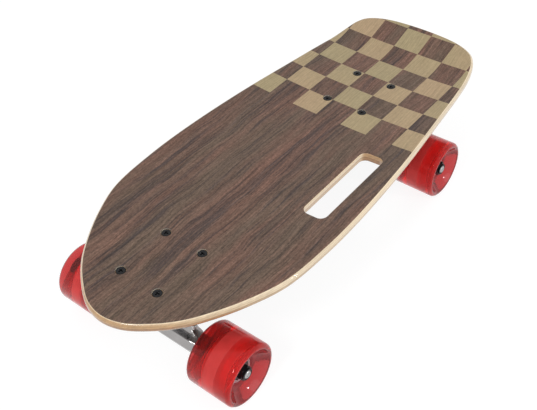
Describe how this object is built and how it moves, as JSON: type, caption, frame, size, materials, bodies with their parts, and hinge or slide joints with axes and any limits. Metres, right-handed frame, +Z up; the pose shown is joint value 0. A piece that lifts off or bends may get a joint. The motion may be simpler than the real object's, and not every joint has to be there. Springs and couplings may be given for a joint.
{
  "type": "mini cruiser skateboard",
  "caption": "Short cruiser board with a kick tail, a carry slot through the deck, steering trucks and wide clear urethane wheels.",
  "frame": {"origin": "on the ground under the middle of the board's outline", "axes": "+X towards the nose, +Y towards the board's left side, which has the carry slot, +Z up"},
  "size_m": [0.4908, 0.2076, 0.1055],
  "materials": {
    "maple_ply": "pale maple plies, rounded and lacquered at the edge",
    "walnut_veneer": "satin walnut veneer with pale inlaid squares at the tail",
    "riser_rubber": "matt black",
    "cast_aluminium": "tumbled casting",
    "polished_aluminium": "polished casting",
    "zinc_steel": "zinc plated",
    "black_steel": "black oxide",
    "pivot_urethane": "matt black urethane",
    "bushing_urethane": "satin black urethane",
    "wheel_urethane": "clear red cast urethane, glossy",
    "wheel_core": "opaque red moulded core",
    "bearing_steel": "ground steel rings with shields"
  },
  "bodies": {
    "deck": {"deck_core": "maple_ply", "deck_top_veneer": "walnut_veneer", "front_riser_pad": "riser_rubber", "front_baseplate": "cast_aluminium", "front_pivot_cup": "pivot_urethane", "front_kingpin": "zinc_steel", "front_kingpin_nut": "zinc_steel", "front_bushing_boardside": "bushing_urethane", "front_bushing_roadside": "bushing_urethane", "front_washer_boardside": "zinc_steel", "front_washer_roadside": "zinc_steel", "rear_riser_pad": "riser_rubber", "rear_baseplate": "cast_aluminium", "rear_pivot_cup": "pivot_urethane", "rear_kingpin": "zinc_steel", "rear_kingpin_nut": "zinc_steel", "rear_bushing_boardside": "bushing_urethane", "rear_bushing_roadside": "bushing_urethane", "rear_washer_boardside": "zinc_steel", "rear_washer_roadside": "zinc_steel", "front_deck_bolt_1": "black_steel", "front_deck_bolt_2": "black_steel", "front_deck_bolt_3": "black_steel", "front_deck_bolt_4": "black_steel", "front_deck_nut_1": "zinc_steel", "front_deck_nut_2": "zinc_steel", "front_deck_nut_3": "zinc_steel", "front_deck_nut_4": "zinc_steel", "rear_deck_bolt_1": "black_steel", "rear_deck_bolt_2": "black_steel", "rear_deck_bolt_3": "black_steel", "rear_deck_bolt_4": "black_steel", "rear_deck_nut_1": "zinc_steel", "rear_deck_nut_2": "zinc_steel", "rear_deck_nut_3": "zinc_steel", "rear_deck_nut_4": "zinc_steel"},
    "front_truck": {"front_hanger": "polished_aluminium", "front_axle": "zinc_steel", "front_left_axle_nut": "black_steel", "front_right_axle_nut": "black_steel"},
    "rear_truck": {"rear_hanger": "polished_aluminium", "rear_axle": "zinc_steel", "rear_left_axle_nut": "black_steel", "rear_right_axle_nut": "black_steel"},
    "front_left_wheel": {"front_left_wheel_tyre": "wheel_urethane", "front_left_wheel_core": "wheel_core", "front_left_inner_bearing": "bearing_steel", "front_left_outer_bearing": "bearing_steel"},
    "front_right_wheel": {"front_right_wheel_tyre": "wheel_urethane", "front_right_wheel_core": "wheel_core", "front_right_inner_bearing": "bearing_steel", "front_right_outer_bearing": "bearing_steel"},
    "rear_left_wheel": {"rear_left_wheel_tyre": "wheel_urethane", "rear_left_wheel_core": "wheel_core", "rear_left_inner_bearing": "bearing_steel", "rear_left_outer_bearing": "bearing_steel"},
    "rear_right_wheel": {"rear_right_wheel_tyre": "wheel_urethane", "rear_right_wheel_core": "wheel_core", "rear_right_inner_bearing": "bearing_steel", "rear_right_outer_bearing": "bearing_steel"}
  },
  "joints": [
    {"name": "front_steering", "type": "hinge", "parent": "deck", "child": "front_truck", "pos_m": [0.16178, 0, 0.04503], "axis": [0.8572, 0, 0.515], "range_deg": [-12, 12], "stiffness_Nm_per_rad": 35, "deforming": ["front_bushing_boardside", "front_bushing_roadside"]},
    {"name": "rear_steering", "type": "hinge", "parent": "deck", "child": "rear_truck", "pos_m": [-0.10702, 0, 0.04503], "axis": [-0.8572, 0, 0.515], "range_deg": [-12, 12], "stiffness_Nm_per_rad": 35, "deforming": ["rear_bushing_boardside", "rear_bushing_roadside"]},
    {"name": "front_left_wheel_spin", "type": "hinge", "parent": "front_truck", "child": "front_left_wheel", "pos_m": [0.18528, 0.07715, 0.0295], "axis": [0, 1, 0], "continuous": true},
    {"name": "front_right_wheel_spin", "type": "hinge", "parent": "front_truck", "child": "front_right_wheel", "pos_m": [0.18528, -0.07715, 0.0295], "axis": [0, 1, 0], "continuous": true},
    {"name": "rear_left_wheel_spin", "type": "hinge", "parent": "rear_truck", "child": "rear_left_wheel", "pos_m": [-0.13052, 0.07715, 0.0295], "axis": [0, 1, 0], "continuous": true},
    {"name": "rear_right_wheel_spin", "type": "hinge", "parent": "rear_truck", "child": "rear_right_wheel", "pos_m": [-0.13052, -0.07715, 0.0295], "axis": [0, 1, 0], "continuous": true}
  ]
}
